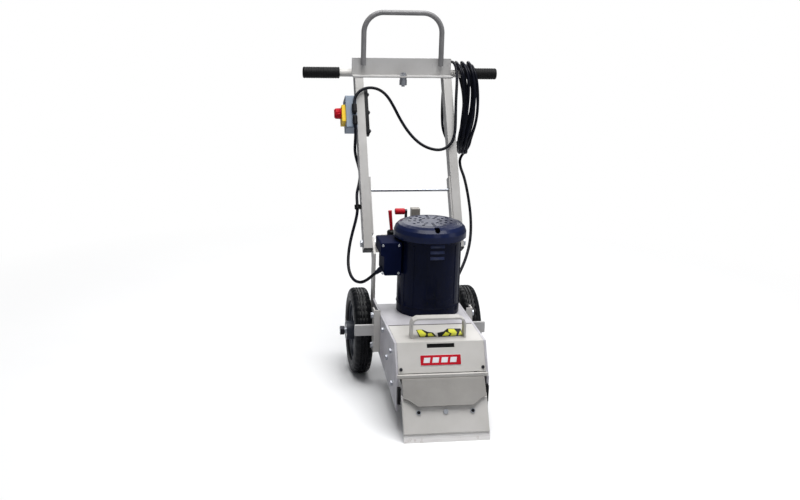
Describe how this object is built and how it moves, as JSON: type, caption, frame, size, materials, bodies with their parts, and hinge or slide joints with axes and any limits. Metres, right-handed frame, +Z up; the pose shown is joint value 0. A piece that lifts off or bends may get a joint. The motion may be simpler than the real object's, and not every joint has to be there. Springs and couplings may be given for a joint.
{
  "type": "walk-behind floor stripper",
  "caption": "Walk-behind electric floor stripper: sloped blade head, upright motor, two rear wheels, leaning handle with crossbar, grips, loop, switch and coiled power cord.",
  "frame": {"origin": "on the floor under the middle of the machine's outline, which runs from the blade's edge to the handlebar and from grip to grip", "axes": "+Z up; +Y from the blade towards the handle; +X to the right of someone facing the blade end"},
  "size_m": [0.608, 0.9299, 1.046],
  "materials": {
    "beige_paint": "semi-gloss",
    "worn_steel": "worn",
    "zinc": "zinc plated",
    "dark_steel": "blackened",
    "navy_paint": "gloss",
    "navy_plastic": "gloss",
    "bearing_steel": "ground",
    "laminations": "laminated",
    "aluminium": "cast",
    "tyre_rubber": "matte",
    "rim_paint": "satin",
    "black_rubber": "matte",
    "black_plastic": "matte",
    "grey_paint": "semi-gloss",
    "box_grey": "satin",
    "yellow_plastic": "gloss",
    "red_plastic": "gloss",
    "cord_rubber": "satin"
  },
  "bodies": {
    "frame": {"side_plates": "beige_paint", "rear_deck": "beige_paint", "front_lip": "beige_paint", "front_guard": "beige_paint", "edge_strips": "black_rubber", "side_bars": "beige_paint", "bracket_posts": "beige_paint", "handle_posts": "beige_paint", "crossmember": "beige_paint", "frame_bolts": "zinc", "axle": "zinc", "axle_nuts": "aluminium", "wheel_bearings": "bearing_steel", "motor_housing": "navy_paint", "end_bell": "navy_paint", "stator": "laminations", "fan_cover": "navy_paint", "junction_box": "navy_paint", "motor_gland": "navy_plastic", "motor_bearings": "bearing_steel", "guide_rails": "black_plastic", "jack_post": "grey_paint", "lever_bracket": "beige_paint", "front_cover": "beige_paint", "cover_handle": "beige_paint", "cover_screws": "dark_steel", "motor_cord": "cord_rubber", "power_plug": "black_rubber"},
    "rotor": {"rotor": "laminations", "cooling_fan": "black_plastic", "eccentric": "bearing_steel"},
    "head": {"head_arm": "beige_paint", "clamp_plate": "beige_paint", "blade": "worn_steel", "blade_bolts": "zinc"},
    "left_wheel": {"left_tyre": "tyre_rubber", "left_rim": "rim_paint"},
    "right_wheel": {"right_tyre": "tyre_rubber", "right_rim": "rim_paint"},
    "handle": {"handle_tubes": "beige_paint", "handle_straps": "beige_paint", "tube_caps": "black_plastic", "cross_rod": "zinc", "pivot_bolts": "zinc", "crossbar": "beige_paint", "handlebar": "beige_paint", "handle_grips": "black_rubber", "loop_handle": "beige_paint", "crossbar_bolt": "zinc", "switch_box": "box_grey", "switch_plate": "yellow_plastic", "cord_glands": "black_plastic", "power_cord_drape": "cord_rubber", "power_cord_coil": "cord_rubber", "power_cord_tail": "cord_rubber"},
    "switch": {"switch_knob": "red_plastic"},
    "crank": {"crank_arm": "dark_steel"},
    "crank_grip": {"crank_grip": "red_plastic"},
    "lock_lever": {"lock_lever": "red_plastic", "lever_hub": "black_plastic"}
  },
  "joints": [
    {"name": "left_wheel_spin", "type": "hinge", "parent": "frame", "child": "left_wheel", "pos_m": [0, 0.101, 0.127], "axis": [1, 0, 0], "continuous": true},
    {"name": "right_wheel_spin", "type": "hinge", "parent": "frame", "child": "right_wheel", "pos_m": [0, 0.101, 0.127], "axis": [1, 0, 0], "continuous": true},
    {"name": "rotor_spin", "type": "hinge", "parent": "frame", "child": "rotor", "pos_m": [0.0188, -0.025, 0.3], "axis": [0, 0, 1], "continuous": true},
    {"name": "blade_stroke", "type": "slide", "parent": "frame", "child": "head", "axis": [0, 1, 0], "range_m": [-0.003, 0.003]},
    {"name": "handle_tilt", "type": "hinge", "parent": "frame", "child": "handle", "pos_m": [0, 0.127, 0.386], "axis": [1, 0, 0], "range_deg": [-15, 10], "deforming": ["motor_cord", "power_cord_tail"]},
    {"name": "switch_turn", "type": "hinge", "parent": "handle", "child": "switch", "pos_m": [-0.19, 0.33856, 0.73844], "axis": [1, 0, 0], "range_deg": [0, 90]},
    {"name": "crank_turn", "type": "hinge", "parent": "frame", "child": "crank", "pos_m": [-0.027, 0.112, 0.452], "axis": [1, 0, 0], "continuous": true},
    {"name": "crank_grip_spin", "type": "hinge", "parent": "crank", "child": "crank_grip", "pos_m": [-0.045, 0.112, 0.486], "axis": [1, 0, 0], "continuous": true},
    {"name": "lock_lever_turn", "type": "hinge", "parent": "frame", "child": "lock_lever", "pos_m": [-0.072, 0.098, 0.42], "axis": [0, 0, 1], "range_deg": [-60, 60]}
  ]
}
